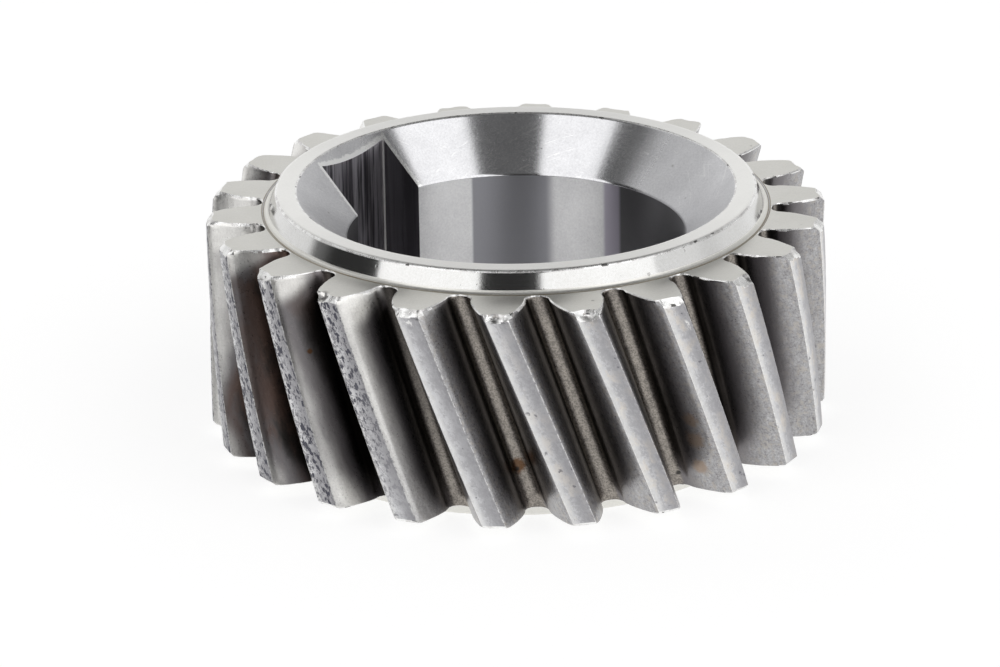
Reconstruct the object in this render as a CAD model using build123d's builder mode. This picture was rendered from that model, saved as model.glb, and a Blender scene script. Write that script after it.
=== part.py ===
from build123d import *
from math import atan, cos, hypot, pi, radians, sin, sqrt, tan
import os

# Crankshaft timing gear: one steel piece with a single left-hand helix, a plain
# bore with a keyway, a wide countersink and a low collar on each face.
# Millimetres. The bore axis is Z and the rear face stands on Z = 0.
# The keyway points along +Y.

# Teeth
teeth = 22
normal_module = 3.0
pressure_angle = 20.0
helix_angle = 19.5
profile_shift = 0.34
addendum_factor = 0.79
dedendum_factor = 1.46
root_fillet = 1.3
root_wall = 0.25
face_width = 27.4
front_tip_chamfer = 0.7
rear_tip_chamfer = 0.5

# Front collar, with a steep outer bevel and a flat ring round the countersink
collar_height = 2.5
collar_setback = 0.85
collar_fillet = 0.6
bevel_run = 1.1
ring_width = 2.5

# Rear collar
rear_collar_height = 1.4
rear_collar_chamfer = 0.3

# Bore, countersink and keyway
bore_diameter = 42.0
bore_chamfer = 1.0
countersink_angle = 90.0
keyway_width = 12.5
keyway_depth = 4.6

# Chords that stand for each involute and each root fillet, sections along the
# helix, and how far the tooth cutter runs past the blank
flank_chords = 5
fillet_chords = 3
helix_sections = 4
cutter_overrun = 1.0

# Gear geometry in the plane across the axis
helix = radians(helix_angle)
transverse_module = normal_module / cos(helix)
transverse_angle = atan(tan(radians(pressure_angle)) / cos(helix))
pitch_radius = teeth * transverse_module / 2
base_radius = pitch_radius * cos(transverse_angle)
outside_radius = pitch_radius + normal_module * (addendum_factor + profile_shift)
root_radius = pitch_radius - normal_module * (dedendum_factor - profile_shift)
lead = 2 * pi * pitch_radius / tan(helix)

# Half the angle of the gap between two teeth, where the involutes leave the base circle
tooth_thickness = normal_module * (pi / 2 + 2 * profile_shift * tan(radians(pressure_angle)))
half_tooth_angle = tooth_thickness / cos(helix) / (2 * pitch_radius)
base_gap_angle = pi / teeth - half_tooth_angle - (tan(transverse_angle) - transverse_angle)

# Heights
tooth_bottom = rear_collar_height
tooth_top = tooth_bottom + face_width
overall_height = tooth_top + collar_height

# Radii of the turned surfaces
bore_radius = bore_diameter / 2
collar_radius = root_radius - collar_setback
ring_outer_radius = collar_radius - bevel_run
countersink_radius = ring_outer_radius - ring_width
countersink_depth = (countersink_radius - bore_radius) / tan(radians(countersink_angle / 2))


def roll_angle(radius):
    """Roll of the involute, in radians, where it reaches this radius."""
    return sqrt((radius / base_radius) ** 2 - 1)


def flank_point(roll):
    """Point on the right flank of the gap that is centred on +Y."""
    radius = base_radius * hypot(1, roll)
    angle = base_gap_angle + roll - atan(roll)
    return (radius * sin(angle), radius * cos(angle))


def fillet_point(angle):
    """Point on the right root fillet of that gap, from the floor round to the wall."""
    x = wall_x - root_fillet * (1 - sin(angle))
    y = root_radius + root_fillet * (1 - cos(angle))
    return (x, y)


# The turned blank
with BuildPart() as gear:
    with BuildSketch(Plane.XZ) as half_section:
        with BuildLine():
            Polyline(
                (bore_radius, bore_chamfer),
                (bore_radius + bore_chamfer, 0),
                (collar_radius - rear_collar_chamfer, 0),
                (collar_radius, rear_collar_chamfer),
                (collar_radius, tooth_bottom),
                (outside_radius - rear_tip_chamfer, tooth_bottom),
                (outside_radius, tooth_bottom + rear_tip_chamfer),
                (outside_radius, tooth_top - front_tip_chamfer),
                (outside_radius - front_tip_chamfer, tooth_top),
                (collar_radius, tooth_top),
                (ring_outer_radius, overall_height),
                (countersink_radius, overall_height),
                (bore_radius, overall_height - countersink_depth),
                close=True,
            )
        make_face()
        collar_base = half_section.vertices().sort_by_distance((collar_radius, tooth_top, 0))[0]
        fillet(collar_base, collar_fillet)
    revolve(axis=Axis.Z)

    # Keyway through the bore and the countersink
    with BuildSketch(Plane.XY) as keyway:
        Rectangle(
            keyway_width,
            bore_radius + keyway_depth,
            align=(Align.CENTER, Align.MIN),
        )
    extrude(amount=overall_height, mode=Mode.SUBTRACT)

# One gap between two teeth: a narrow floor, then on each side a large fillet, a
# short straight wall and an involute flank
flank_start = roll_angle(max(base_radius, root_radius + root_fillet + root_wall))
flank_end = roll_angle(outside_radius + cutter_overrun)
flank_step = (flank_end - flank_start) / flank_chords
wall_x = flank_point(flank_start)[0]
fillet_side = [fillet_point(pi / 2 * i / fillet_chords) for i in range(fillet_chords + 1)]
flank_side = [flank_point(flank_start + i * flank_step) for i in range(flank_chords + 1)]
right_side = fillet_side + flank_side
left_side = [(-x, y) for x, y in reversed(right_side)]

with BuildSketch() as gap:
    with BuildLine():
        Polyline(right_side + left_side, close=True)
    make_face()

# The gap turns about the axis as it climbs, so its flanks are left-hand helicoids
cutter_length = face_width + 2 * cutter_overrun

with BuildPart() as cutter:
    for i in range(helix_sections):
        height = tooth_bottom - cutter_overrun + i * cutter_length / (helix_sections - 1)
        turn = 360 * (tooth_top - height) / lead
        with BuildSketch(Plane.XY.offset(height).rotated((0, 0, turn))):
            add(gap.sketch)
    loft()

with gear:
    with PolarLocations(0, teeth):
        add(cutter.part, mode=Mode.SUBTRACT)

gear.part.label = "gear"
os.makedirs("parts", exist_ok=True)
export_step(gear.part, "parts/gear.step")
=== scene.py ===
import math
import bmesh
import bpy
from mathutils import Matrix, Vector, noise


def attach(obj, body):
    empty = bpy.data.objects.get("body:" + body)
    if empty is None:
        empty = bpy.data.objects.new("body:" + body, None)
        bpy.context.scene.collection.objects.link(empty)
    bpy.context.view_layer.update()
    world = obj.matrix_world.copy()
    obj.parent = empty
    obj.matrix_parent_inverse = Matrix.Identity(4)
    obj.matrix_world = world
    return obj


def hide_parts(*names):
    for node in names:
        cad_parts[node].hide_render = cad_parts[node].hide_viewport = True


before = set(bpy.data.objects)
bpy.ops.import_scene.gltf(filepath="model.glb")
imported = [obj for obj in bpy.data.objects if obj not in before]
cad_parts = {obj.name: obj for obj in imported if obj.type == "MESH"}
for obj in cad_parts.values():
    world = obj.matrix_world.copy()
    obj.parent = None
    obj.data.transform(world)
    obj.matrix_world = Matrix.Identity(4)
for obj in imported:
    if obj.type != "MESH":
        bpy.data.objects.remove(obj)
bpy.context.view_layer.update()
mm = 0.001

# The side of the gear that counts as its front, in degrees round the upright axis. Camera and lamps keep to it
frontTurn = -53.2

# Camera: it stands in front and to the left of the keyway, and looks a little down
cameraSpec = {
    "place": (-571.2 * mm, -427.3 * mm, 291.5 * mm),
    "turn": frontTurn + 0.178,
    "dip": 21.42,
    "roll": -0.885,
    "lens": 220.97,
    "sensor": 36.0,
    "clip": (0.01, 100),
}


def addCamera(spec):
    data = bpy.data.cameras.new("camera")
    data.lens = spec["lens"]
    data.sensor_width = spec["sensor"]
    data.clip_start, data.clip_end = spec["clip"]
    camera = bpy.data.objects.new("camera", data)
    bpy.context.collection.objects.link(camera)
    aim = (
        Matrix.Rotation(math.radians(spec["turn"]), 4, "Z")
        @ Matrix.Rotation(math.radians(90 - spec["dip"]), 4, "X")
        @ Matrix.Rotation(math.radians(spec["roll"]), 4, "Z")
    )
    camera.matrix_world = Matrix.Translation(spec["place"]) @ aim
    bpy.context.scene.camera = camera


addCamera(cameraSpec)
print("camera placed")

# Sizes of the gear in millimetres, the same as the solid's. Shares place the loops along a surface, and the
# support loops stand close to an edge, so that its shading stays narrow
gearShape = {
    "teeth": 22,
    "baseRadius": 32.658,
    "tipRadius": 38.397,
    "rootRadius": 31.648,
    "rootFillet": 1.3,
    "rootWall": 0.25,
    "gapAngle": 0.042514,
    "lead": 621.153,
    "toothBottom": 1.4,
    "toothTop": 28.8,
    "frontTipChamfer": 0.7,
    "rearTipChamfer": 0.5,
    "collarRadius": 30.798,
    "collarFillet": 0.6,
    "rearChamfer": 0.3,
    "ringOuter": 29.698,
    "ringInner": 27.198,
    "top": 31.3,
    "boreRadius": 21.0,
    "boreChamfer": 1.0,
    "keyHalfWidth": 6.25,
    "keyFloor": 25.6,
    "edgeBreak": 0.12,
    "ringBreak": 0.3,
    "ringDrop": 0.04,
    "ringSupports": (0.2, 0.3),
    "edgeSupport": 0.12,
    "bevelWear": 0.06,
    "grooveWidth": 0.24,
    "grooveDepth": 0.09,
    "flankSteps": 9,
    "filletSteps": 4,
    "landSteps": 3,
    "heightSteps": 40,
    "chamferShares": (1.6, 1.25, 0.95, 0.7, 0.45),
    "collarSteps": 5,
    "bevelShares": (0.06, 0.35, 0.66, 0.84, 0.88, 0.95),
    "coneShares": (0.015, 0.035, 0.2, 0.4, 0.6, 0.8, 0.965, 0.985),
    "boreSupport": 0.006,
    "boreSteps": 8,
    "faceShares": (0.04, 0.12, 0.3, 0.62, 1),
    "weld": 0.002,
    "cutterSpare": 4,
}

# Burrs and nicks: how uneven the chamfer and the edges are, how far in from the tips wear reaches, and single nicks
# as (degrees round, radius, height, size, depth) in millimetres
wear = {
    "chamferGrain": 0.5,
    "chamferShare": (1.15, 0.75),
    "edgeGrain": 1.3,
    "edgeShare": (1.1, 0.9),
    "tipGrain": 1.1,
    "tipDepth": 0.05,
    "tipReach": 0.3,
    "rootClear": 1,
    "nickDrop": 0.5,
    "nicks": (
        (179.2, 37.9, 28.5, 0.8, 0.35),
        (164.0, 38.3, 27.6, 0.6, 0.2),
        (-162.9, 38.3, 27.3, 0.6, 0.2),
        (-147.4, 38.0, 28.4, 0.7, 0.3),
        (-130.9, 38.1, 28.5, 0.7, 0.3),
        (-111.3, 38.3, 25.2, 0.5, 0.2),
        (-95.9, 38.0, 28.5, 0.8, 0.35),
        (-60.0, 38.0, 28.4, 0.9, 0.4),
        (-43.5, 38.0, 28.4, 0.9, 0.4),
        (70.0, 38.0, 28.4, 0.7, 0.3),
        (125.0, 38.0, 28.4, 0.7, 0.3),
        (20.0, 38.0, 28.4, 0.7, 0.3),
    ),
}


def rollAt(radius):
    return math.sqrt((radius / gearShape["baseRadius"]) ** 2 - 1)


def gapAngleAt(roll):
    return gearShape["gapAngle"] + roll - math.atan(roll)


def halfGapOutline(shape):
    # Half of one tooth gap as (angle from the gap's middle, radius), from the floor out over the tip
    edge = shape["edgeBreak"]
    rootY = shape["rootRadius"]
    fillet = shape["rootFillet"]
    firstRoll = rollAt(rootY + fillet + shape["rootWall"])
    lastRoll = rollAt(shape["tipRadius"] - edge)
    wallX = shape["baseRadius"] * math.hypot(1, firstRoll) * math.sin(gapAngleAt(firstRoll))
    polar = [(0, rootY)]
    for i in range(shape["filletSteps"] + 1):
        turn = math.pi / 2 * i / shape["filletSteps"]
        x = wallX - fillet * (1 - math.sin(turn))
        y = rootY + fillet * (1 - math.cos(turn))
        polar.append((math.atan2(x, y), math.hypot(x, y)))
    for i in range(shape["flankSteps"] + 1):
        roll = firstRoll + (lastRoll - firstRoll) * i / shape["flankSteps"]
        polar.append((gapAngleAt(roll), shape["baseRadius"] * math.hypot(1, roll)))
    tipStart = gapAngleAt(rollAt(shape["tipRadius"])) + edge / shape["tipRadius"]
    tipEnd = math.pi / shape["teeth"]
    for i in range(shape["landSteps"]):
        polar.append((tipStart + (tipEnd - tipStart) * i / shape["landSteps"], shape["tipRadius"]))
    return polar


def wholeOutline(shape):
    # The right half of each gap runs inwards and the left half outwards, so the angle grows all the way round
    half = halfGapOutline(shape)
    tipEnd = (math.pi / shape["teeth"], shape["tipRadius"])
    right = [(-a, r) for a, r in [tipEnd] + half[:0:-1]]
    onePitch = right + half
    outline = []
    for gap in range(shape["teeth"]):
        middle = math.pi / 2 + gap * 2 * math.pi / shape["teeth"]
        outline += [(middle + a, r) for a, r in onePitch]
    return outline


def spokeAngles(shape):
    # Angles of the same points where they reach the collar, spread so that no spoke crosses a gap
    half = halfGapOutline(shape)
    corner = shape["filletSteps"]
    tipEnd = math.pi / shape["teeth"]
    cornerAngle = half[corner][0]
    spread = []
    for i, point in enumerate(half):
        share = max(0, i - corner) / (len(half) - corner)
        spread.append(point[0] if i <= corner else cornerAngle + (tipEnd - cornerAngle) * share)
    right = [-a for a in [tipEnd] + spread[:0:-1]]
    angles = []
    for gap in range(shape["teeth"]):
        middle = math.pi / 2 + gap * 2 * math.pi / shape["teeth"]
        angles += [middle + a for a in right + spread]
    return angles


def turnAt(shape, height):
    return 2 * math.pi * (shape["toothTop"] - height) / shape["lead"]


def placePolar(polar, turn, height):
    return [(r * math.cos(a + turn), r * math.sin(a + turn), height) for a, r in polar]


def grainAt(x, y, z, grain, shares):
    # An uneven share round the first value, by up to the second
    middle, swing = shares
    return middle + swing * noise.noise(Vector((x, y, z)) * grain)


def insetLoop(points, amounts):
    # Moves a closed loop of points into the metal, square to its own line
    count = len(points)
    moved = []
    for i, (x, y, z) in enumerate(points):
        before = points[i - 1]
        after = points[(i + 1) % count]
        tx = after[0] - before[0]
        ty = after[1] - before[1]
        length = math.hypot(tx, ty)
        moved.append((x - amounts[i] * ty / length, y + amounts[i] * tx / length, z))
    return moved


def clampTips(points, shape):
    # Turns the tip chamfers: nothing stands out past a 45 degree cone at either end
    held = []
    for x, y, z in points:
        r = math.hypot(x, y)
        chamfer = shape["frontTipChamfer"] * grainAt(x, y, 0, wear["chamferGrain"], wear["chamferShare"])
        front = shape["tipRadius"] - max(0, z - (shape["toothTop"] - chamfer))
        rear = shape["tipRadius"] - max(0, shape["toothBottom"] + shape["rearTipChamfer"] - z)
        scale = min(1, front / r, rear / r)
        held.append((x * scale, y * scale, z))
    return held


def gearLoops(shape):
    # Every closed loop of the gear's surface in order: up the teeth, over the front, down the bore and back under
    outline = wholeOutline(shape)
    spokes = spokeAngles(shape)
    edge = shape["edgeBreak"]
    low = shape["toothBottom"]
    high = shape["toothTop"]
    heights = [low + edge, low + shape["rearTipChamfer"] / 2, low + shape["rearTipChamfer"]]
    first = heights[-1]
    last = high - 2 * shape["frontTipChamfer"]
    steps = shape["heightSteps"]
    heights += [first + (last - first) * i / steps for i in range(1, steps + 1)]
    heights += [high - shape["frontTipChamfer"] * share for share in shape["chamferShares"]]
    loops = []

    def toothLoop(height, inset):
        points = placePolar(outline, turnAt(shape, height), height)
        return clampTips(insetLoop(points, [inset] * len(points)), shape)

    def brokenEdge(rise, inset):
        # The broken edge round the tooth face, wider and narrower along its way
        flat = placePolar(outline, turnAt(shape, high), high)
        sizes = [edge * grainAt(*p, wear["edgeGrain"], wear["edgeShare"]) for p in flat]
        points = insetLoop(flat, [size * inset for size in sizes])
        return clampTips([(x, y, z - size * rise) for (x, y, z), size in zip(points, sizes)], shape)

    def ringLoop(radius, height, turn):
        return placePolar([(a, radius) for a in spokes], turn, height)

    def blendLoops(start, end, shares):
        for share in shares:
            loops.append([tuple(a + (b - a) * share for a, b in zip(p, q)) for p, q in zip(start, end)])

    rearTurn = turnAt(shape, low)
    loops.append(toothLoop(low, edge))
    for height in heights:
        loops.append(toothLoop(height, 0))
    loops.append(brokenEdge(1, 0))
    frontOutline = brokenEdge(0, 1)
    loops.append(frontOutline)

    # Front tooth face, with a fine groove where the collar's fillet starts
    slope = math.atan2(shape["top"] - high, shape["collarRadius"] - shape["ringOuter"])
    fillet = shape["collarFillet"]
    reach = fillet / math.tan((math.pi - slope) / 2)
    filletX = shape["collarRadius"] + reach
    grooveRim = filletX + shape["grooveWidth"]
    blendLoops(frontOutline, ringLoop(grooveRim, high, 0), shape["faceShares"])
    loops.append(ringLoop(filletX + shape["grooveWidth"] / 2, high - shape["grooveDepth"], 0))
    for i in range(shape["collarSteps"] + 1):
        turn = slope * i / shape["collarSteps"]
        radius = filletX - fillet * math.sin(turn)
        loops.append(ringLoop(radius, high + fillet * (1 - math.cos(turn)), 0))

    # Bevel, flat ring, countersink and bore
    lastRadius = filletX - fillet * math.sin(slope)
    lastHeight = high + fillet * (1 - math.cos(slope))
    for share in shape["bevelShares"]:
        worn = shape["bevelWear"] if share == shape["bevelShares"][-1] else 0
        radius = lastRadius + (shape["ringOuter"] - lastRadius) * share - worn
        loops.append(ringLoop(radius, lastHeight + (shape["top"] - lastHeight) * share, 0))
    outer = shape["ringOuter"] - shape["ringBreak"] / 2
    loops.append(ringLoop(outer, shape["top"] - shape["ringDrop"], 0))
    ringRadii = [outer - step for step in shape["ringSupports"]]
    ringRadii += [shape["ringInner"] + edge + shape["edgeSupport"], shape["ringInner"] + edge]
    for radius in ringRadii:
        loops.append(ringLoop(radius, shape["top"], 0))
    coneDepth = shape["ringInner"] - shape["boreRadius"]
    coneFoot = shape["top"] - coneDepth
    for share in shape["coneShares"]:
        loops.append(ringLoop(shape["ringInner"] - coneDepth * share, shape["top"] - coneDepth * share, 0))
    boreTop = coneFoot - edge
    boreFoot = shape["boreChamfer"]
    for share in [0, shape["boreSupport"]] + [i / shape["boreSteps"] for i in range(1, shape["boreSteps"] + 1)]:
        loops.append(ringLoop(shape["boreRadius"], boreTop + (boreFoot - boreTop) * share, rearTurn * share))

    # Rear face, rear collar and rear tooth face, back to the first loop
    loops.append(ringLoop(shape["boreRadius"] + shape["boreChamfer"], 0, rearTurn))
    loops.append(ringLoop((shape["boreRadius"] + shape["collarRadius"]) / 2, 0, rearTurn))
    loops.append(ringLoop(shape["collarRadius"] - shape["rearChamfer"], 0, rearTurn))
    loops.append(ringLoop(shape["collarRadius"], shape["rearChamfer"], rearTurn))
    rearRing = ringLoop(shape["collarRadius"], low, rearTurn)
    loops.append(rearRing)
    blendLoops(rearRing, loops[0], [1 - share for share in shape["faceShares"][::-1][1:]])
    return [[nickPoint(p, shape) for p in loop] for loop in loops]


def nickPoint(point, shape):
    # Tips wear unevenly along the teeth, and single nicks push the metal in and down
    x, y, z = point
    r = math.hypot(x, y)
    if r < shape["rootRadius"] + wear["rootClear"]:
        return point
    if r > shape["tipRadius"] - wear["tipReach"]:
        dent = wear["tipDepth"] * max(0, noise.noise(Vector(point) * wear["tipGrain"]))
        x, y = x * (1 - dent / r), y * (1 - dent / r)
    for degrees, radius, height, size, depth in wear["nicks"]:
        angle = math.radians(degrees)
        away = math.dist(point, (radius * math.cos(angle), radius * math.sin(angle), height))
        if away < size:
            push = depth * (1 - (away / size) ** 2)
            x, y, z = x * (1 - push / r), y * (1 - push / r), z - push * wear["nickDrop"]
    return (x, y, z)


def selectNone():
    bpy.ops.object.select_all(action="DESELECT")


def layLoop(mesh, points):
    # Puts the selected loop of a mesh in edit mode on its points
    rim = [v for v in bmesh.from_edit_mesh(mesh).verts if v.select]
    for vertex, point in zip(rim, points):
        vertex.co = Vector(point) * mm


def makeGear(shape):
    # The surface grows loop by loop from the rear edge of the teeth until it meets its own start
    loops = gearLoops(shape)
    selectNone()
    bpy.ops.mesh.primitive_circle_add(vertices=len(loops[0]), radius=shape["tipRadius"] * mm)
    gear = bpy.context.object
    gear.name = "helicalGear"
    for vertex, point in zip(gear.data.vertices, loops[0]):
        vertex.co = Vector(point) * mm
    bpy.ops.object.mode_set(mode="EDIT")
    bpy.ops.mesh.select_all(action="SELECT")
    for loop in loops[1:] + loops[:1]:
        bpy.ops.mesh.extrude_region_move()
        layLoop(gear.data, loop)
    bmesh.update_edit_mesh(gear.data)
    bpy.ops.mesh.select_all(action="SELECT")
    bpy.ops.mesh.remove_doubles(threshold=shape["weld"] * mm)
    bpy.ops.mesh.normals_make_consistent(inside=False)
    bpy.ops.object.mode_set(mode="OBJECT")
    return gear


def cutKeyway(gear, shape):
    reach = shape["keyFloor"]
    selectNone()
    bpy.ops.mesh.primitive_cube_add(size=1, location=(0, reach / 2 * mm, shape["top"] / 2 * mm))
    cutter = bpy.context.object
    cutter.scale = (2 * shape["keyHalfWidth"] * mm, reach * mm, (shape["top"] + shape["cutterSpare"]) * mm)
    bpy.ops.object.transform_apply(location=True, rotation=False, scale=True)
    cut = gear.modifiers.new("keyway", "BOOLEAN")
    cut.operation = "DIFFERENCE"
    cut.solver = "EXACT"
    cut.object = cutter
    selectNone()
    gear.select_set(True)
    bpy.context.view_layer.objects.active = gear
    bpy.ops.object.modifier_apply(modifier=cut.name)
    bpy.data.objects.remove(cutter)


# Node helpers
def giveValue(tree, socket, given):
    if isinstance(given, bpy.types.NodeSocket):
        tree.links.new(given, socket)
    else:
        socket.default_value = given


def newNode(tree, kind, inputs=None, **settings):
    node = tree.nodes.new(kind)
    for key, value in settings.items():
        setattr(node, key, value)
    for name, given in (inputs or {}).items():
        giveValue(tree, node.inputs[name], given)
    return node


def mathNode(tree, operation, first, second=0.0, third=0.0, clamp=False):
    given = {0: first, 1: second, 2: third}
    return newNode(tree, "ShaderNodeMath", given, operation=operation, use_clamp=clamp).outputs[0]


def times(tree, first, second, clamp=False):
    return mathNode(tree, "MULTIPLY", first, second, clamp=clamp)


def minus(tree, first, second, clamp=False):
    return mathNode(tree, "SUBTRACT", first, second, clamp=clamp)


def plusTimes(tree, start, value, factor, clamp=False):
    # The start, and the value as often as the factor says
    return mathNode(tree, "MULTIPLY_ADD", value, factor, start, clamp)


def weighed(tree, first, second, share):
    # A mean in which the first value has the given share
    return plusTimes(tree, times(tree, second, 1 - share), first, share)


def rampNode(tree, value, low, high):
    # 0 at low, 1 at high, smooth between
    given = {"Value": value, "From Min": low, "From Max": high}
    return newNode(tree, "ShaderNodeMapRange", given, interpolation_type="SMOOTHSTEP").outputs["Result"]


def fallNode(tree, value, low, high):
    # 1 at low, 0 at high, smooth between
    return minus(tree, 1.0, rampNode(tree, value, low, high))


def spreadValue(tree, mask, low, high):
    return plusTimes(tree, low, mask, high - low)


def axesOf(tree, vector):
    return newNode(tree, "ShaderNodeSeparateXYZ", {0: vector}).outputs


def stretched(tree, vector, factors):
    return newNode(tree, "ShaderNodeVectorMath", {0: vector, 1: factors}, operation="MULTIPLY").outputs[0]


def alongNode(tree, vector, direction):
    given = {0: vector, 1: direction}
    return newNode(tree, "ShaderNodeVectorMath", given, operation="DOT_PRODUCT").outputs["Value"]


def mixColour(tree, amount, first, second):
    node = newNode(tree, "ShaderNodeMix", {0: amount}, data_type="RGBA")
    for index, given in ((6, first), (7, second)):
        giveValue(tree, node.inputs[index], (*given, 1) if isinstance(given, tuple) else given)
    return node.outputs[2]


def newGroup(name, inputs, outputs, vectors=("Position", "Centre")):
    # Inputs come with their first value, and every socket is a number unless it stands among the vectors
    tree = bpy.data.node_groups.new(name, "ShaderNodeTree")
    kinds = {label: "NodeSocketVector" if label in vectors else "NodeSocketFloat" for label in (*inputs, *outputs)}
    for label, value in inputs.items():
        socket = tree.interface.new_socket(label, in_out="INPUT", socket_type=kinds[label])
        if value is not None:
            socket.default_value = value
    for label in outputs:
        tree.interface.new_socket(label, in_out="OUTPUT", socket_type=kinds[label])
    return tree, tree.nodes.new("NodeGroupInput").outputs, tree.nodes.new("NodeGroupOutput").inputs


def useGroup(tree, group, **values):
    given = {key[0].upper() + key[1:]: value for key, value in values.items()}
    return newNode(tree, "ShaderNodeGroup", given, node_tree=group).outputs


# Paint is laid out on the gear's own axes. The seam is the turn that puts the start of the distance round the teeth
# into a gap at the back. The lit-and-oil side is a direction across the gear: towards it the flanks carry stronger
# painted light and shade, and oil and scale are painted thicker
paintAxes = {"seam": 2.4219, "litAndOilSide": (-0.599, 0.801, 0)}


# Shared effects
def makeCoords():
    # The place in millimetres, the same as distance round the teeth with the helix taken out, radius and height, and
    # how far a point lies towards the lit-and-oil side, from 1 to -1
    labels = ("Place", "Unrolled", "Radius", "Height", "Side")
    tree, given, made = newGroup("gearCoords", {"Position": None}, labels, ("Position", "Place", "Unrolled"))
    scale = {0: given["Position"], "Scale": 1 / mm}
    place = newNode(tree, "ShaderNodeVectorMath", scale, operation="SCALE").outputs[0]
    height = axesOf(tree, place)["Z"]
    twist = plusTimes(tree, paintAxes["seam"], height, 2 * math.pi / gearShape["lead"])
    turning = {"Vector": place, "Angle": twist}
    straight = newNode(tree, "ShaderNodeVectorRotate", turning, rotation_type="Z_AXIS").outputs[0]
    split = axesOf(tree, straight)
    around = times(tree, mathNode(tree, "ARCTAN2", split["Y"], split["X"]), gearShape["rootRadius"])
    square = plusTimes(tree, times(tree, split["Y"], split["Y"]), split["X"], split["X"])
    radius = mathNode(tree, "SQRT", square)
    unrolled = newNode(tree, "ShaderNodeCombineXYZ", {0: around, 1: radius, 2: height}).outputs[0]
    side = mathNode(tree, "DIVIDE", alongNode(tree, place, paintAxes["litAndOilSide"]), radius)
    for label, value in zip(labels, (place, unrolled, radius, height, side)):
        tree.links.new(value, made[label])
    return tree


def makeMottle():
    # Soft blotches and fine grain, both from 0 to 1
    inputs = {"Position": None, "Blotch": 0.3, "Grain": 3.0, "Contrast": 1.0}
    tree, given, made = newGroup("steelMottle", inputs, ("Blotches", "Grains"))
    strength = times(tree, given["Contrast"], 2.5)
    for label, scale, detail, roughness in (("Blotches", "Blotch", 4.0, 0.6), ("Grains", "Grain", 3.0, 0.7)):
        texture = {"Vector": given["Position"], "Scale": given[scale], "Detail": detail, "Roughness": roughness}
        centred = minus(tree, newNode(tree, "ShaderNodeTexNoise", texture).outputs["Fac"], 0.5)
        tree.links.new(plusTimes(tree, 0.5, centred, strength, clamp=True), made[label])
    return tree


def makeMarks():
    # Fine lines left by a cutting tool, along one running distance
    tree, given, made = newGroup("toolMarks", {"Run": 0.0, "Position": None, "Pitch": 4.0}, ("Lines",))
    wander = newNode(tree, "ShaderNodeTexNoise", {"Vector": given["Position"], "Scale": 0.12, "Detail": 2.0})
    run = times(tree, plusTimes(tree, given["Run"], wander.outputs["Fac"], 0.25), given["Pitch"])
    texture = {"W": run, "Scale": 1.0, "Detail": 3.0, "Roughness": 0.65}
    lines = newNode(tree, "ShaderNodeTexNoise", texture, noise_dimensions="1D")
    tree.links.new(lines.outputs["Fac"], made["Lines"])
    return tree


def makePits():
    # Small separate pits: 1 inside a pit, 0 elsewhere
    inputs = {"Position": None, "Spacing": 1.2, "Size": 0.25, "Share": 0.4}
    tree, given, made = newGroup("pits", inputs, ("Pits",))
    warp = newNode(tree, "ShaderNodeTexNoise", {"Vector": given["Position"], "Scale": 2.5, "Detail": 2.0})
    offset = newNode(tree, "ShaderNodeVectorMath", {0: warp.outputs["Color"], "Scale": 0.7}, operation="SCALE")
    moved = newNode(tree, "ShaderNodeVectorMath", {0: given["Position"], 1: offset.outputs[0]}, operation="ADD")
    cells = newNode(tree, "ShaderNodeTexVoronoi", {"Vector": moved.outputs[0], "Scale": given["Spacing"]})
    pick = axesOf(tree, cells.outputs["Color"])
    chosen = mathNode(tree, "LESS_THAN", pick["X"], given["Share"])
    reach = times(tree, given["Size"], mathNode(tree, "ADD", pick["Y"], 0.4))
    depth = times(tree, minus(tree, reach, cells.outputs["Distance"]), 9.0, clamp=True)
    tree.links.new(times(tree, depth, chosen), made["Pits"])
    return tree


def makeSpot():
    # One soft-edged spot round a given place
    tree, given, made = newGroup("spot", {"Position": None, "Centre": None, "Size": 0.5}, ("Spot",))
    warp = newNode(tree, "ShaderNodeTexNoise", {"Vector": given["Position"], "Scale": 1.6, "Detail": 3.0})
    ends = {0: given["Position"], 1: given["Centre"]}
    away = newNode(tree, "ShaderNodeVectorMath", ends, operation="DISTANCE").outputs["Value"]
    ragged = times(tree, away, mathNode(tree, "ADD", warp.outputs["Fac"], 0.5))
    inside = minus(tree, 1.0, mathNode(tree, "DIVIDE", ragged, given["Size"]), clamp=True)
    tree.links.new(times(tree, inside, 2.2, clamp=True), made["Spot"])
    return tree


gearCoords = makeCoords()
steelMottle = makeMottle()
toolMarks = makeMarks()
pitGroup = makePits()
spotGroup = makeSpot()


def pitMask(tree, place, spacing, size, share):
    return useGroup(tree, pitGroup, position=place, spacing=spacing, size=size, share=share)["Pits"]


def spotMask(tree, place, centre, size):
    return useGroup(tree, spotGroup, position=place, centre=centre, size=size)["Spot"]


def startMaterial(name):
    material = bpy.data.materials.new(name)
    material.use_nodes = True
    tree = material.node_tree
    shader = tree.nodes["Principled BSDF"]
    shader.inputs["Metallic"].default_value = 1.0
    place = newNode(tree, "ShaderNodeTexCoord").outputs["Object"]
    return material, tree, shader, useGroup(tree, gearCoords, position=place)


def finishMaterial(tree, shader, colour, roughness, height, depth):
    tree.links.new(colour, shader.inputs["Base Color"])
    tree.links.new(roughness, shader.inputs["Roughness"])
    bump = newNode(tree, "ShaderNodeBump", {"Height": height, "Strength": 1.0, "Distance": depth * mm})
    tree.links.new(bump.outputs[0], shader.inputs["Normal"])


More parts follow.
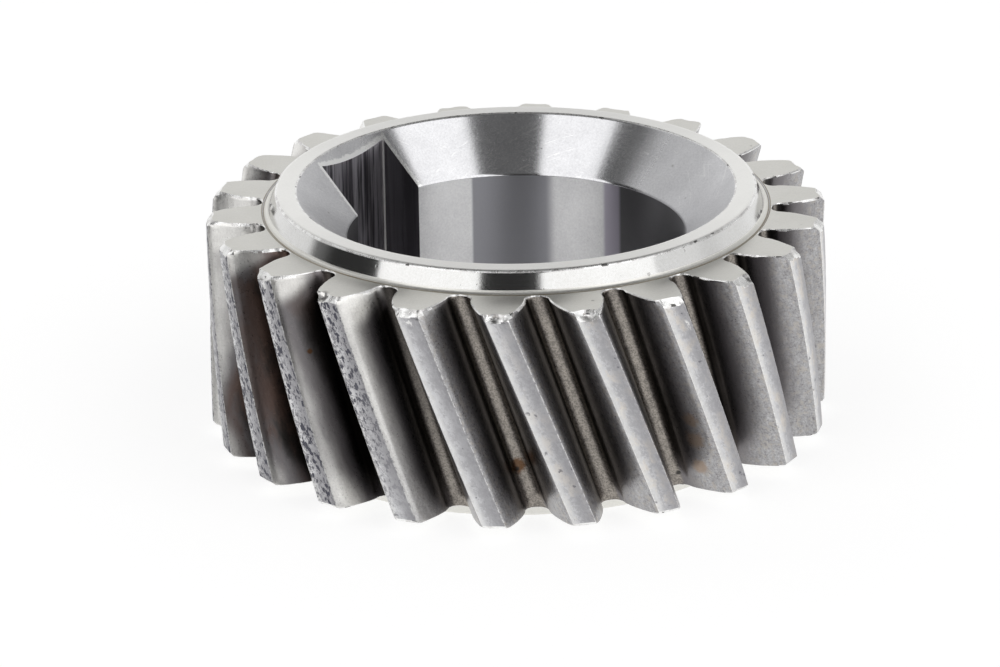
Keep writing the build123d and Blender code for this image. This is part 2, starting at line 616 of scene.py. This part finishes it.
# Turned surfaces: their two greys, and their tool marks by the way they run, their pitch and depth. Brushed is how far
# the marks draw a reflection out
turnedLook = {
    "faces": {
        "light": (0.89, 0.88, 0.84),
        "dark": (0.77, 0.76, 0.715),
        "roughness": (0.34, 0.42),
        "radial": 1.0,
        "axial": 0.0,
        "pitch": 5.0,
        "depth": 0.003,
        "brushed": 0.0,
        "pitShare": 0.05,
    },
    "ring": {
        "light": (0.95, 0.945, 0.92),
        "dark": (0.87, 0.865, 0.84),
        "roughness": (0.3, 0.36),
        "radial": 1.0,
        "axial": 0.0,
        "pitch": 7.0,
        "depth": 0.002,
        "brushed": 0.5,
        "pitShare": 0.03,
    },
    "bevel": {
        "light": (0.72, 0.72, 0.715),
        "dark": (0.62, 0.615, 0.6),
        "roughness": (0.1, 0.13),
        "radial": 1.0,
        "axial": 1.0,
        "pitch": 8.0,
        "depth": 0.001,
        "brushed": 0.5,
        "pitShare": 0.3,
    },
    "cone": {
        "light": (0.76, 0.76, 0.775),
        "dark": (0.56, 0.56, 0.575),
        "roughness": (0.14, 0.18),
        "radial": 1.0,
        "axial": 0.0,
        "pitch": 11.0,
        "depth": 0.0012,
        "brushed": 0.6,
        "pitShare": 0.16,
    },
    "bore": {
        "light": (1.0, 1.0, 1.0),
        "dark": (0.76, 0.755, 0.77),
        "roughness": (0.48, 0.54),
        "radial": 0.0,
        "axial": 1.0,
        "pitch": 9.0,
        "depth": 0.001,
        "brushed": 1.0,
        "pitShare": 0.03,
    },
}

# What all turned surfaces share. The cutter chattered on the cone's two sides, so these shine less
turnedPaint = {
    "blotch": 0.22,
    "grain": 3.6,
    "contrast": 1.1,
    "grainShare": 0.6,
    "grainDepth": 0.4,
    "pitSpacing": 0.9,
    "pitSize": 0.16,
    "pitColour": (0.3, 0.29, 0.28),
    "pitStrength": 0.6,
    "pitDepth": 8.0,
    "brushTurn": 0.25,
    "chatterSide": (0.62, 0.88),
    "chatterRoughness": 0.3,
}


def makeTurned(name, look):
    paint = turnedPaint
    material, tree, shader, coords = startMaterial(name + "Steel")
    shader.inputs["Anisotropic"].default_value = look["brushed"]
    shader.inputs["Anisotropic Rotation"].default_value = paint["brushTurn"]
    place = coords["Place"]
    outward = times(tree, coords["Radius"], look["radial"])
    upward = times(tree, coords["Height"], look["axial"])
    run = mathNode(tree, "ADD", outward, upward)
    lines = useGroup(tree, toolMarks, run=run, position=place, pitch=look["pitch"])["Lines"]
    mottle = useGroup(
        tree, steelMottle, position=place, blotch=paint["blotch"], grain=paint["grain"], contrast=paint["contrast"]
    )
    tone = weighed(tree, mottle["Grains"], mottle["Blotches"], paint["grainShare"])
    colour = mixColour(tree, tone, look["dark"], look["light"])
    pits = pitMask(tree, place, paint["pitSpacing"], paint["pitSize"], look["pitShare"])
    colour = mixColour(tree, times(tree, pits, paint["pitStrength"]), colour, paint["pitColour"])
    roughness = spreadValue(tree, mottle["Grains"], *look["roughness"])
    if name == "faces":
        colour = stainFoot(tree, coords, colour, mottle["Blotches"])
    # The bore gets painted reflection bands
    if name == "bore":
        colour = paintBoreReflections(tree, coords, colour)
    if name == "cone":
        colour = scratchCone(tree, coords, colour)
        sides = rampNode(tree, mathNode(tree, "ABSOLUTE", coords["Side"]), *paint["chatterSide"])
        roughness = plusTimes(tree, roughness, sides, paint["chatterRoughness"])
    height = plusTimes(tree, lines, mottle["Grains"], paint["grainDepth"])
    height = minus(tree, height, times(tree, pits, paint["pitDepth"]))
    finishMaterial(tree, shader, colour, roughness, height, look["depth"])
    return material


footLook = {
    "stain": (0.2, 0.15, 0.08),
    "radius": 31.37,
    "halfWidth": 0.22,
    "coreShare": 0.6,
    "depths": (0.5, 0.2),
    "dirt": (0.6, 0.9),
}


def stainFoot(tree, coords, colour, patches):
    # Old oil stays in the groove at the collar's foot
    half = footLook["halfWidth"]
    off = mathNode(tree, "ABSOLUTE", minus(tree, coords["Radius"], footLook["radius"]))
    line = fallNode(tree, off, half * footLook["coreShare"], half)
    front = rampNode(tree, coords["Height"], *(gearShape["toothTop"] - depth for depth in footLook["depths"]))
    amount = times(tree, times(tree, line, front), spreadValue(tree, patches, *footLook["dirt"]))
    return mixColour(tree, amount, colour, footLook["stain"])


# Painted reflections: bands on strips of the bore stand in for the light and dark of reflections in its wall. Each is
# a colour, and two ends as (degrees round, and the shares of the radius past that line at which the band starts to
# fade in and is whole)
boreReflectionBands = (
    ((0.4, 0.4, 0.43), (52.7, 0.0, 0.02), (24.0, -0.03, 0.05)),
    ((0.55, 0.52, 0.6), (5.5, 0.0, 0.03), (-10.0, 0.0, 0.03)),
    ((0.19, 0.188, 0.195), (-1.0, 0.0, 0.03), (-55.0, -0.2, 0.2)),
    ((0.12, 0.118, 0.125), (165.0, 0.0, 0.3), (104.0, 0.0, 0.02)),
)


def paintBoreReflections(tree, coords, colour):
    # Painted reflections: each band is laid into the bore's colour where both its ends let it in
    for tint, *ends in boreReflectionBands:
        mask = 1.0
        for sign, (degrees, low, high) in zip((1, -1), ends):
            angle = math.radians(degrees)
            square = (sign * math.sin(angle), -sign * math.cos(angle), 0)
            share = mathNode(tree, "DIVIDE", alongNode(tree, coords["Place"], square), coords["Radius"])
            mask = times(tree, rampNode(tree, share, low, high), mask)
        colour = mixColour(tree, mask, colour, tint)
    return colour


coneWear = {
    "scratch": (0.92, 0.92, 0.91),
    "scratchSlants": (0.7, -0.45),
    "scratchPitch": 4.5,
    "scratchLines": (0.62, 0.7),
    "scratchPatches": (0.5, 0.8),
    "scratchStrength": 0.5,
    "rim": (0.97, 0.97, 0.96),
    "rimWidth": (0.24, 0.48),
    "rimGrain": -0.25,
    "rimStart": 18.0,
}


def scratchCone(tree, coords, colour):
    # Short bright scratches, and a bright rim along the keyway: a burr, painted white as the highlight on its edge
    place = coords["Place"]
    split = axesOf(tree, place)
    mottle = useGroup(tree, steelMottle, position=place, blotch=0.4, grain=1.6, contrast=1.3)
    for slant in coneWear["scratchSlants"]:
        run = plusTimes(tree, split["Z"], split["X"], slant)
        lines = useGroup(tree, toolMarks, run=run, position=place, pitch=coneWear["scratchPitch"])["Lines"]
        drawn = rampNode(tree, lines, *coneWear["scratchLines"])
        drawn = times(tree, drawn, rampNode(tree, mottle["Blotches"], *coneWear["scratchPatches"]))
        colour = mixColour(tree, times(tree, drawn, coneWear["scratchStrength"]), colour, coneWear["scratch"])
    # Painted highlight: a white strip along the keyway's edges on the cone, where the burred edge would catch light
    out = minus(tree, mathNode(tree, "ABSOLUTE", split["X"]), gearShape["keyHalfWidth"])
    up = minus(tree, split["Y"], gearShape["keyFloor"])
    ragged = plusTimes(tree, mathNode(tree, "MAXIMUM", out, up), mottle["Grains"], coneWear["rimGrain"])
    rim = fallNode(tree, ragged, *coneWear["rimWidth"])
    here = mathNode(tree, "GREATER_THAN", split["Y"], coneWear["rimStart"])
    return mixColour(tree, times(tree, rim, here), colour, coneWear["rim"])


# Flanks and gap floors. Ranges are the values between which a finish fades in: of the distance to the lit-and-oil
# side, of the height, of the rise above the root, or of the noise. The lifts raise or lower the painted shade's edge,
# in millimetres
flankLook = {
    "light": (0.95, 0.94, 0.91),
    "dark": (0.7, 0.69, 0.67),
    "shadedSideMetal": (0.6, 0.6, 0.61),
    "warm": (0.5, 0.465, 0.42),
    "shade": (0.19, 0.18, 0.185),
    "fillet": (0.035, 0.032, 0.03),
    "floor": (0.18, 0.165, 0.15),
    "floorSpots": (0.4, 0.365, 0.325),
    "oil": (0.12, 0.075, 0.06),
    "rust": (0.11, 0.05, 0.018),
    "brown": (0.36, 0.28, 0.22),
    "pit": (0.03, 0.03, 0.03),
    "roughness": (0.27, 0.36),
    "depth": 0.006,
    "nearRange": (0.2, 0.5),
    "sideBandRange": (0.5, 0.85),
    "sideBandEnd": (0.945, 0.97),
    "speckRange": (0.45, 0.95),
    "speckShare": 0.6,
    "waves": 1.2,
    "bottomRange": (2.0, 7.5),
    "bottomShare": 0.6,
    "topRange": (24.6, 28.2),
    "topShare": 0.8,
    "endLift": 3.0,
    "topLift": 2.0,
    "sideBandLift": -2.6,
    "nearLift": -0.9,
    "shadeRange": (0.6, 2.6),
    "metalRange": (2.6, 6.2),
    "floorGrain": 0.7,
    "spotRange": (0.2, 0.85),
    "floorRise": (0.2, 0.75),
    "floorShade": 0.9,
    "filmRange": (0.2, 0.7),
    "filmSide": (0.5, 1.0),
    "filmRise": (2.0, 5.0),
    "filmShares": (0.75, 0.15),
    "spotStrength": 0.85,
    "spots": (
        ("brown", (-9.3, -34.2, 5.0), 1.3),
        ("brown", (-10.6, -34.35, 8.9), 1.5),
        ("brown", (-11.5, -34.3, 11.8), 1.2),
        ("rust", (-25.5, -18.8, 7.0), 1.2),
        ("rust", (-35.8, 4.5, 19.9), 0.4),
        ("pit", (-8.86, -30.73, 3.19), 0.4),
        ("pit", (-25.6, -18.7, 6.6), 0.35),
    ),
}


def makeFlank(look):
    material, tree, shader, coords = startMaterial("flankSteel")
    place = coords["Unrolled"]
    rise = minus(tree, coords["Radius"], gearShape["rootRadius"])
    near = rampNode(tree, coords["Side"], *look["nearRange"])
    drawn = stretched(tree, place, (1.0, 1.0, 0.4))
    mottle = useGroup(tree, steelMottle, position=drawn, blotch=0.3, grain=1.8, contrast=0.9)
    fine = useGroup(tree, steelMottle, position=place, blotch=1.5, grain=4.2, contrast=1.2)
    tone = weighed(tree, mottle["Grains"], fine["Grains"], 0.45)
    # Painted light and shade: flanks towards the lit-and-oil side get the bright metal, those away from it a darker
    # copy
    bright = mixColour(tree, tone, look["dark"], look["light"])
    shadedSideMetal = mixColour(tree, tone, look["shade"], look["shadedSideMetal"])
    metal = mixColour(tree, minus(tree, 1.0, near), bright, shadedSideMetal)
    specks = rampNode(tree, fine["Blotches"], *look["speckRange"])
    specks = times(tree, specks, minus(tree, look["speckShare"], near, clamp=True))
    metal = mixColour(tree, specks, metal, look["warm"])

    # Painted shade: a gap darkens towards its root, as where less light reaches, down to a nearly black fillet. The
    # shade is less at the bottom, and at the top towards the lit-and-oil side, and deeper towards that side and in a
    # band near it
    bottom = fallNode(tree, coords["Height"], *look["bottomRange"])
    top = times(tree, rampNode(tree, coords["Height"], *look["topRange"]), near)
    ends = mathNode(
        tree, "MAXIMUM", times(tree, bottom, look["bottomShare"]), times(tree, top, look["topShare"])
    )
    sideBand = minus(
        tree, rampNode(tree, coords["Side"], *look["sideBandRange"]), rampNode(tree, coords["Side"], *look["sideBandEnd"])
    )
    shadeAndFilmRise = plusTimes(tree, rise, minus(tree, mottle["Blotches"], 0.5), look["waves"])
    for mask, lift in ((ends, "endLift"), (top, "topLift"), (sideBand, "sideBandLift"), (near, "nearLift")):
        shadeAndFilmRise = plusTimes(tree, shadeAndFilmRise, mask, look[lift])
    colour = mixColour(tree, rampNode(tree, shadeAndFilmRise, *look["shadeRange"]), look["fillet"], look["shade"])
    colour = mixColour(tree, rampNode(tree, shadeAndFilmRise, *look["metalRange"]), colour, metal)

    # The floor of a gap is matt and spotted, and towards the lit-and-oil side it is painted nearly black, as shade
    patchy = weighed(tree, fine["Grains"], fine["Blotches"], look["floorGrain"])
    floor = mixColour(tree, rampNode(tree, patchy, *look["spotRange"]), look["floor"], look["floorSpots"])
    floor = mixColour(tree, times(tree, near, look["floorShade"]), floor, look["fillet"])
    colour = mixColour(tree, fallNode(tree, rise, *look["floorRise"]), colour, floor)
    film = rampNode(tree, mottle["Blotches"], *look["filmRange"])
    film = times(tree, film, rampNode(tree, sideBand, *look["filmSide"]))
    thick = spreadValue(tree, rampNode(tree, shadeAndFilmRise, *look["filmRise"]), *look["filmShares"])
    colour = mixColour(tree, times(tree, film, thick), colour, look["oil"])
    for tint, centre, size in look["spots"]:
        mask = spotMask(tree, coords["Place"], centre, size)
        colour = mixColour(tree, times(tree, mask, look["spotStrength"]), colour, look[tint])
    roughness = spreadValue(tree, fine["Grains"], *look["roughness"])
    finishMaterial(tree, shader, colour, roughness, mottle["Grains"], look["depth"])
    return material


# Lands of the teeth. Lead and trail are ranges across a land, in shares of the pitch, with its middle at 0.5. Flakes
# are (stretch, spacing, size, share, strength) of two sizes of torn scale
tipLook = {
    "light": (0.7, 0.7, 0.715),
    "dark": (0.44, 0.435, 0.45),
    "flake": (0.09, 0.09, 0.11),
    "trail": (0.3, 0.295, 0.31),
    "warm": (0.66, 0.61, 0.55),
    "bright": (0.92, 0.915, 0.9),
    "roughness": (0.3, 0.42),
    "depth": 0.03,
    "grainDepth": 0.3,
    "grainShare": 0.65,
    "toneRange": (0.28, 0.72),
    "warmRange": (0.4, 0.95),
    "warmSide": (0.2, -0.3),
    "warmShare": 0.8,
    "acrossGrain": 0.07,
    "leadRange": (0.39, 0.46),
    "leadShare": 0.5,
    "trailRange": (0.44, 0.58),
    "trailShare": 0.7,
    "nearRange": (0.3, 0.55),
    "nearGrain": (0.45, 0.75),
    "flakes": (((1.2, 1.0, 0.6), 2.5, 0.5, 0.72, 1.0), ((1.1, 1.0, 0.8), 4.0, 0.42, 0.5, 0.75)),
    "specks": (1.5, 0.3, 0.14),
    "speckShare": 0.6,
    "streaks": (((-19.9, -32.8, 4.3), 0.7), ((-19.4, -33.1, 3.2), 0.6), ((-19.1, -33.3, 2.2), 0.5)),
    "streakShare": 0.9,
    "rubDepths": (0.02, 0.12),
    "rubGrain": (0.2, 0.6),
    "rubShare": 0.8,
}


def landShare(tree, place, grains, swing):
    # How far across its pitch a point lies, a little uneven. 30 whole pitches keep the count above zero
    pitch = 2 * math.pi * gearShape["rootRadius"] / gearShape["teeth"]
    across = mathNode(tree, "FRACT", plusTimes(tree, 30.0, axesOf(tree, place)["X"], 1 / pitch))
    return plusTimes(tree, across, minus(tree, grains, 0.5), swing)


def makeTip(look):
    material, tree, shader, coords = startMaterial("tipSteel")
    place = coords["Unrolled"]
    drawn = stretched(tree, place, (1.0, 1.0, 0.6))
    mottle = useGroup(tree, steelMottle, position=drawn, blotch=0.8, grain=4.0, contrast=1.3)
    grains = mottle["Grains"]
    tone = weighed(tree, grains, mottle["Blotches"], look["grainShare"])
    colour = mixColour(tree, rampNode(tree, tone, *look["toneRange"]), look["dark"], look["light"])
    warm = rampNode(tree, mottle["Blotches"], *look["warmRange"])
    warm = times(tree, warm, rampNode(tree, coords["Side"], *look["warmSide"]))
    colour = mixColour(tree, times(tree, warm, look["warmShare"]), colour, look["warm"])

    # Each land is rubbed lighter on the side that leads, and greyer on the other
    across = landShare(tree, place, grains, look["acrossGrain"])
    trail = times(tree, rampNode(tree, across, *look["trailRange"]), look["trailShare"])
    colour = mixColour(tree, trail, colour, look["trail"])
    lead = times(tree, fallNode(tree, across, *look["leadRange"]), look["leadShare"])
    colour = mixColour(tree, lead, colour, look["bright"])

    # Scale flaked off in the cutting, thickest towards the lit-and-oil side
    near = rampNode(tree, coords["Side"], *look["nearRange"])
    worn = times(tree, near, rampNode(tree, grains, *look["nearGrain"]))
    colour = mixColour(tree, worn, colour, look["trail"])
    flakes = 0.0
    for factors, spacing, size, share, strength in look["flakes"]:
        torn = times(tree, pitMask(tree, stretched(tree, place, factors), spacing, size, share), strength)
        flakes = mathNode(tree, "MAXIMUM", torn, flakes)
    specks = times(tree, pitMask(tree, place, *look["specks"]), look["speckShare"])
    scale = mathNode(tree, "MAXIMUM", times(tree, flakes, near), specks)
    for centre, size in look["streaks"]:
        mask = spotMask(tree, coords["Place"], centre, size)
        scale = mathNode(tree, "MAXIMUM", scale, times(tree, mask, look["streakShare"]))
    colour = mixColour(tree, scale, colour, look["flake"])

    # Rubbed bright along both edges
    first, last = look["rubDepths"]
    rub = rampNode(tree, minus(tree, gearShape["tipRadius"] - first, coords["Radius"]), 0.0, last - first)
    rub = times(tree, rub, rampNode(tree, grains, *look["rubGrain"]))
    colour = mixColour(tree, times(tree, rub, look["rubShare"]), colour, look["bright"])
    roughness = spreadValue(tree, grains, *look["roughness"])
    height = minus(tree, times(tree, grains, look["grainDepth"]), scale)
    finishMaterial(tree, shader, colour, roughness, height, look["depth"])
    return material


edgeLook = {
    "light": (0.95, 0.95, 0.94),
    "dark": (0.7, 0.69, 0.68),
    "pit": (0.05, 0.047, 0.045),
    "roughness": (0.24, 0.36),
    "depth": 0.03,
    "grainDepth": 0.5,
    "toneRange": (0.2, 0.6),
    "pits": (0.9, 0.34, 0.3),
    "pitShare": 0.9,
    "nickShare": 0.8,
}


def makeEdge(look):
    # Bright broken edges and tip chamfers, torn here and there
    material, tree, shader, coords = startMaterial("edgeSteel")
    place = coords["Place"]
    mottle = useGroup(tree, steelMottle, position=place, blotch=0.6, grain=2.0, contrast=1.3)
    colour = mixColour(
        tree, rampNode(tree, mottle["Blotches"], *look["toneRange"]), look["dark"], look["light"]
    )
    pits = pitMask(tree, place, *look["pits"])
    for degrees, radius, height, size, _ in wear["nicks"]:
        angle = math.radians(degrees)
        centre = (radius * math.cos(angle), radius * math.sin(angle), height)
        pits = mathNode(tree, "MAXIMUM", pits, spotMask(tree, place, centre, size * look["nickShare"]))
    colour = mixColour(tree, times(tree, pits, look["pitShare"]), colour, look["pit"])
    roughness = spreadValue(tree, mottle["Grains"], *look["roughness"])
    relief = minus(tree, times(tree, mottle["Grains"], look["grainDepth"]), pits)
    finishMaterial(tree, shader, colour, roughness, relief, look["depth"])
    return material


keywayLook = {
    "light": (0.62, 0.6, 0.64),
    "dark": (0.17, 0.16, 0.18),
    "wall": (0.085, 0.083, 0.088),
    "line": (0.8, 0.79, 0.78),
    "roughness": (0.3, 0.42),
    "depth": 0.03,
    "toneRange": (0.2, 0.8),
    "wallDepths": (0.03, 0.005),
    "wallShare": 0.92,
    "lineWidth": (0.154, 0.22),
    "lineShare": 0.8,
}


def makeKeywaySteel(look):
    # Broach marks run straight down the slot. One wall is painted nearly black, and its foot carries a painted
    # highlight
    material, tree, shader, coords = startMaterial("keywaySteel")
    tall = stretched(tree, coords["Place"], (1.0, 1.0, 0.03))
    streaks = useGroup(tree, steelMottle, position=tall, blotch=0.55, grain=2.2, contrast=1.6)
    tone = weighed(tree, streaks["Grains"], streaks["Blotches"], 0.5)
    colour = mixColour(tree, rampNode(tree, tone, *look["toneRange"]), look["dark"], look["light"])
    split = axesOf(tree, coords["Place"])
    wall = rampNode(tree, split["X"], *(gearShape["keyHalfWidth"] - depth for depth in look["wallDepths"]))
    colour = mixColour(tree, times(tree, wall, look["wallShare"]), colour, look["wall"])
    out = minus(tree, gearShape["keyHalfWidth"], split["X"])
    down = minus(tree, gearShape["keyFloor"], split["Y"])
    # Painted highlight: a bright line along the corner at the foot of that wall
    line = fallNode(tree, mathNode(tree, "MAXIMUM", out, down), *look["lineWidth"])
    colour = mixColour(tree, times(tree, line, look["lineShare"]), colour, look["line"])
    roughness = spreadValue(tree, streaks["Grains"], *look["roughness"])
    finishMaterial(tree, shader, colour, roughness, tone, look["depth"])
    return material


# Where one finish ends and the next begins: distances in millimetres, and facings as the share of a face's normal that
# points up or away from the axis
finishLimits = {
    "keyPlay": 0.01,
    "keyFacing": 0.999,
    "rimDepth": 0.4,
    "outerRimFacing": (0.2, 0.85, 0.45),
    "innerRimFacing": (-0.6, -0.2, 0.8),
    "collarClear": 0.75,
    "edgeTilt": (0.5, 0.93),
    "flankTilt": 0.9,
    "tipReach": 0.22,
    "tipFacing": 0.7,
    "landReach": 0.25,
    "collarRise": 0.35,
    "bevelFacing": 0.4,
    "ringTilt": 0.95,
    "coneFacing": (-0.3, 0.3),
    "boreFacing": -0.9,
    "smoothAngle": 28,
}


def inKeyway(x, y, normal, shape):
    inside = abs(x) <= shape["keyHalfWidth"] + finishLimits["keyPlay"] and y > 0
    flat = finishLimits["keyFacing"]
    return inside and (abs(normal.x) > flat or normal.y < -flat)


def onRingRim(outward, upward):
    return any(
        low < outward < high and upward > tilt
        for low, high, tilt in (finishLimits["outerRimFacing"], finishLimits["innerRimFacing"])
    )


def zoneOf(x, y, z, normal, shape):
    limits = finishLimits
    radius = math.hypot(x, y)
    outward = (normal.x * x + normal.y * y) / radius
    tilt = abs(normal.z)
    onTooth = radius > shape["collarRadius"] + limits["collarClear"]
    onCollar = z > shape["toothTop"] + limits["collarRise"]
    if inKeyway(x, y, normal, shape):
        return "keyway"
    if z > shape["top"] - limits["rimDepth"] and onRingRim(outward, normal.z):
        return "edge"
    if onTooth and limits["edgeTilt"][0] < tilt < limits["edgeTilt"][1]:
        return "edge"
    if radius > shape["tipRadius"] - limits["tipReach"] and outward > limits["tipFacing"]:
        return "tip"
    if onTooth and tilt < limits["flankTilt"]:
        return "flank"
    if onCollar and outward > limits["bevelFacing"]:
        return "bevel"
    if onCollar and normal.z > limits["ringTilt"]:
        return "ring"
    if outward < limits["coneFacing"][0] and normal.z > limits["coneFacing"][1]:
        return "cone"
    return "bore" if outward < limits["boreFacing"] else "faces"


def softenTips(gear, shape, order):
    # The long edges of the tip lands are worn round, so they shade as one with the flanks
    shaped = bmesh.new()
    shaped.from_mesh(gear.data)
    worn = (order.index("tip"), order.index("flank"))
    for edge in shaped.edges:
        middle = (edge.verts[0].co + edge.verts[1].co) / 2 / mm
        outer = math.hypot(middle.x, middle.y) > shape["tipRadius"] - finishLimits["landReach"]
        if outer and all(face.material_index in worn for face in edge.link_faces):
            edge.smooth = True
    shaped.to_mesh(gear.data)
    shaped.free()


def dressGear(gear, shape):
    made = {name: makeTurned(name, look) for name, look in turnedLook.items()}
    made["flank"] = makeFlank(flankLook)
    made["tip"] = makeTip(tipLook)
    made["edge"] = makeEdge(edgeLook)
    made["keyway"] = makeKeywaySteel(keywayLook)
    order = list(made)
    gear.data.materials.clear()
    for name in order:
        gear.data.materials.append(made[name])
    for face in gear.data.polygons:
        face.material_index = order.index(zoneOf(*(face.center / mm), face.normal, shape))
    selectNone()
    gear.select_set(True)
    bpy.context.view_layer.objects.active = gear
    bpy.ops.object.shade_smooth_by_angle(angle=math.radians(finishLimits["smoothAngle"]))
    softenTips(gear, shape, order)


# Floor, lamps and sky. A softbox is its glow, the softness of its edge, and the directions of its four corners, which
# like the wall's are turned to the gear's front. Low and high are ranges of a direction's height
studio = {
    "facing": frontTurn,
    "floorSize": 30.0,
    "floorColour": (0.9, 0.9, 0.9),
    "floorGlow": 1.25,
    "floorGlowShare": 0.65,
    "boxes": (
        (1.4, 0.008, (-0.15, -0.18, 1.06), (-0.47, -0.01, 0.96), (-0.93, -0.43, 0.16), (-0.28, -0.96, 0.24)),
        (1.4, 0.008, (0.3, -0.13, 1.04), (0.56, 0.12, 0.89), (0.877, -0.456, 0.152), (0.094, -0.984, 0.148)),
        (0.5, 0.16, (0.62, 0.16, 0.85), (0.2, 0.62, 0.8), (0.5, 0.8, 0.25), (0.93, 0.1, 0.2)),
        (0.8, 0.16, (-0.62, 0.16, 0.85), (-0.2, 0.62, 0.8), (-0.5, 0.8, 0.25), (-0.93, 0.2, 0.2)),
    ),
    "skyFront": 0.035,
    "skyTop": 0.14,
    "topRange": (0.5, 0.85),
    "skyWall": 0.95,
    "wallFacing": 60.0,
    "wallSide": (-0.28, -0.16),
    "wallTop": (0.4, 0.68),
}


def makeFloor(spec):
    selectNone()
    bpy.ops.mesh.primitive_plane_add(size=spec["floorSize"])
    floor = bpy.context.object
    floor.name = "floor"
    material = bpy.data.materials.new("paleFloor")
    material.use_nodes = True
    tree = material.node_tree
    tree.nodes.clear()
    path = newNode(tree, "ShaderNodeLightPath").outputs
    shone = mathNode(tree, "MAXIMUM", path["Is Glossy Ray"], path["Is Transmission Ray"])
    seen = mathNode(tree, "MAXIMUM", path["Is Camera Ray"], shone)
    matt = newNode(tree, "ShaderNodeBsdfDiffuse", {"Color": (*spec["floorColour"], 1)})
    glow = newNode(tree, "ShaderNodeEmission", {"Color": (1, 1, 1, 1), "Strength": spec["floorGlow"]})
    share = times(tree, seen, spec["floorGlowShare"])
    mixed = newNode(tree, "ShaderNodeMixShader", {0: share, 1: matt.outputs[0], 2: glow.outputs[0]})
    newNode(tree, "ShaderNodeOutputMaterial", {"Surface": mixed.outputs[0]})
    floor.data.materials.append(material)


def boxMask(tree, direction, corners, soft, facing):
    # 1 where a direction falls inside a softbox, given by the directions of its four corners
    turn = Matrix.Rotation(math.radians(facing), 3, "Z")
    spots = [turn @ Vector(corner) for corner in corners]
    middle = sum(spots, Vector())
    mask = 1.0
    for here, there in zip(spots, spots[1:] + spots[:1]):
        square = here.cross(there).normalized()
        if square.dot(middle) < 0:
            square.negate()
        mask = times(tree, rampNode(tree, alongNode(tree, direction, square), -soft, soft), mask)
    return mask


def makeSky(spec):
    # A dim ceiling, a bright low wall behind the gear and to its right, and the softboxes in front of it
    world = bpy.data.worlds.new("sky")
    bpy.context.scene.world = world
    world.use_nodes = True
    tree = world.node_tree
    tree.nodes.clear()
    direction = newNode(tree, "ShaderNodeTexCoord").outputs["Generated"]
    ahead = math.radians(spec["wallFacing"] + spec["facing"])
    facing = alongNode(tree, direction, (math.cos(ahead), math.sin(ahead), 0))
    height = axesOf(tree, direction)["Z"]
    wall = times(tree, rampNode(tree, facing, *spec["wallSide"]), fallNode(tree, height, *spec["wallTop"]))
    plain = spreadValue(tree, rampNode(tree, height, *spec["topRange"]), spec["skyFront"], spec["skyTop"])
    strength = plusTimes(tree, plain, wall, minus(tree, spec["skyWall"], plain))
    for glowing, soft, *corners in spec["boxes"][::-1]:
        mask = boxMask(tree, direction, corners, soft, spec["facing"])
        strength = plusTimes(tree, strength, mask, minus(tree, glowing, strength))
    glow = newNode(tree, "ShaderNodeBackground", {"Color": (1, 1, 1, 1), "Strength": strength})
    newNode(tree, "ShaderNodeOutputWorld", {"Surface": glow.outputs[0]})


gear = makeGear(gearShape)
cutKeyway(gear, gearShape)
print("gear shaped:", len(gear.data.polygons), "faces")
dressGear(gear, gearShape)
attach(gear, "root")
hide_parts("gear")
print("gear dressed")

makeFloor(studio)
makeSky(studio)
bpy.context.scene.view_settings.view_transform = "Standard"
print("studio lit")
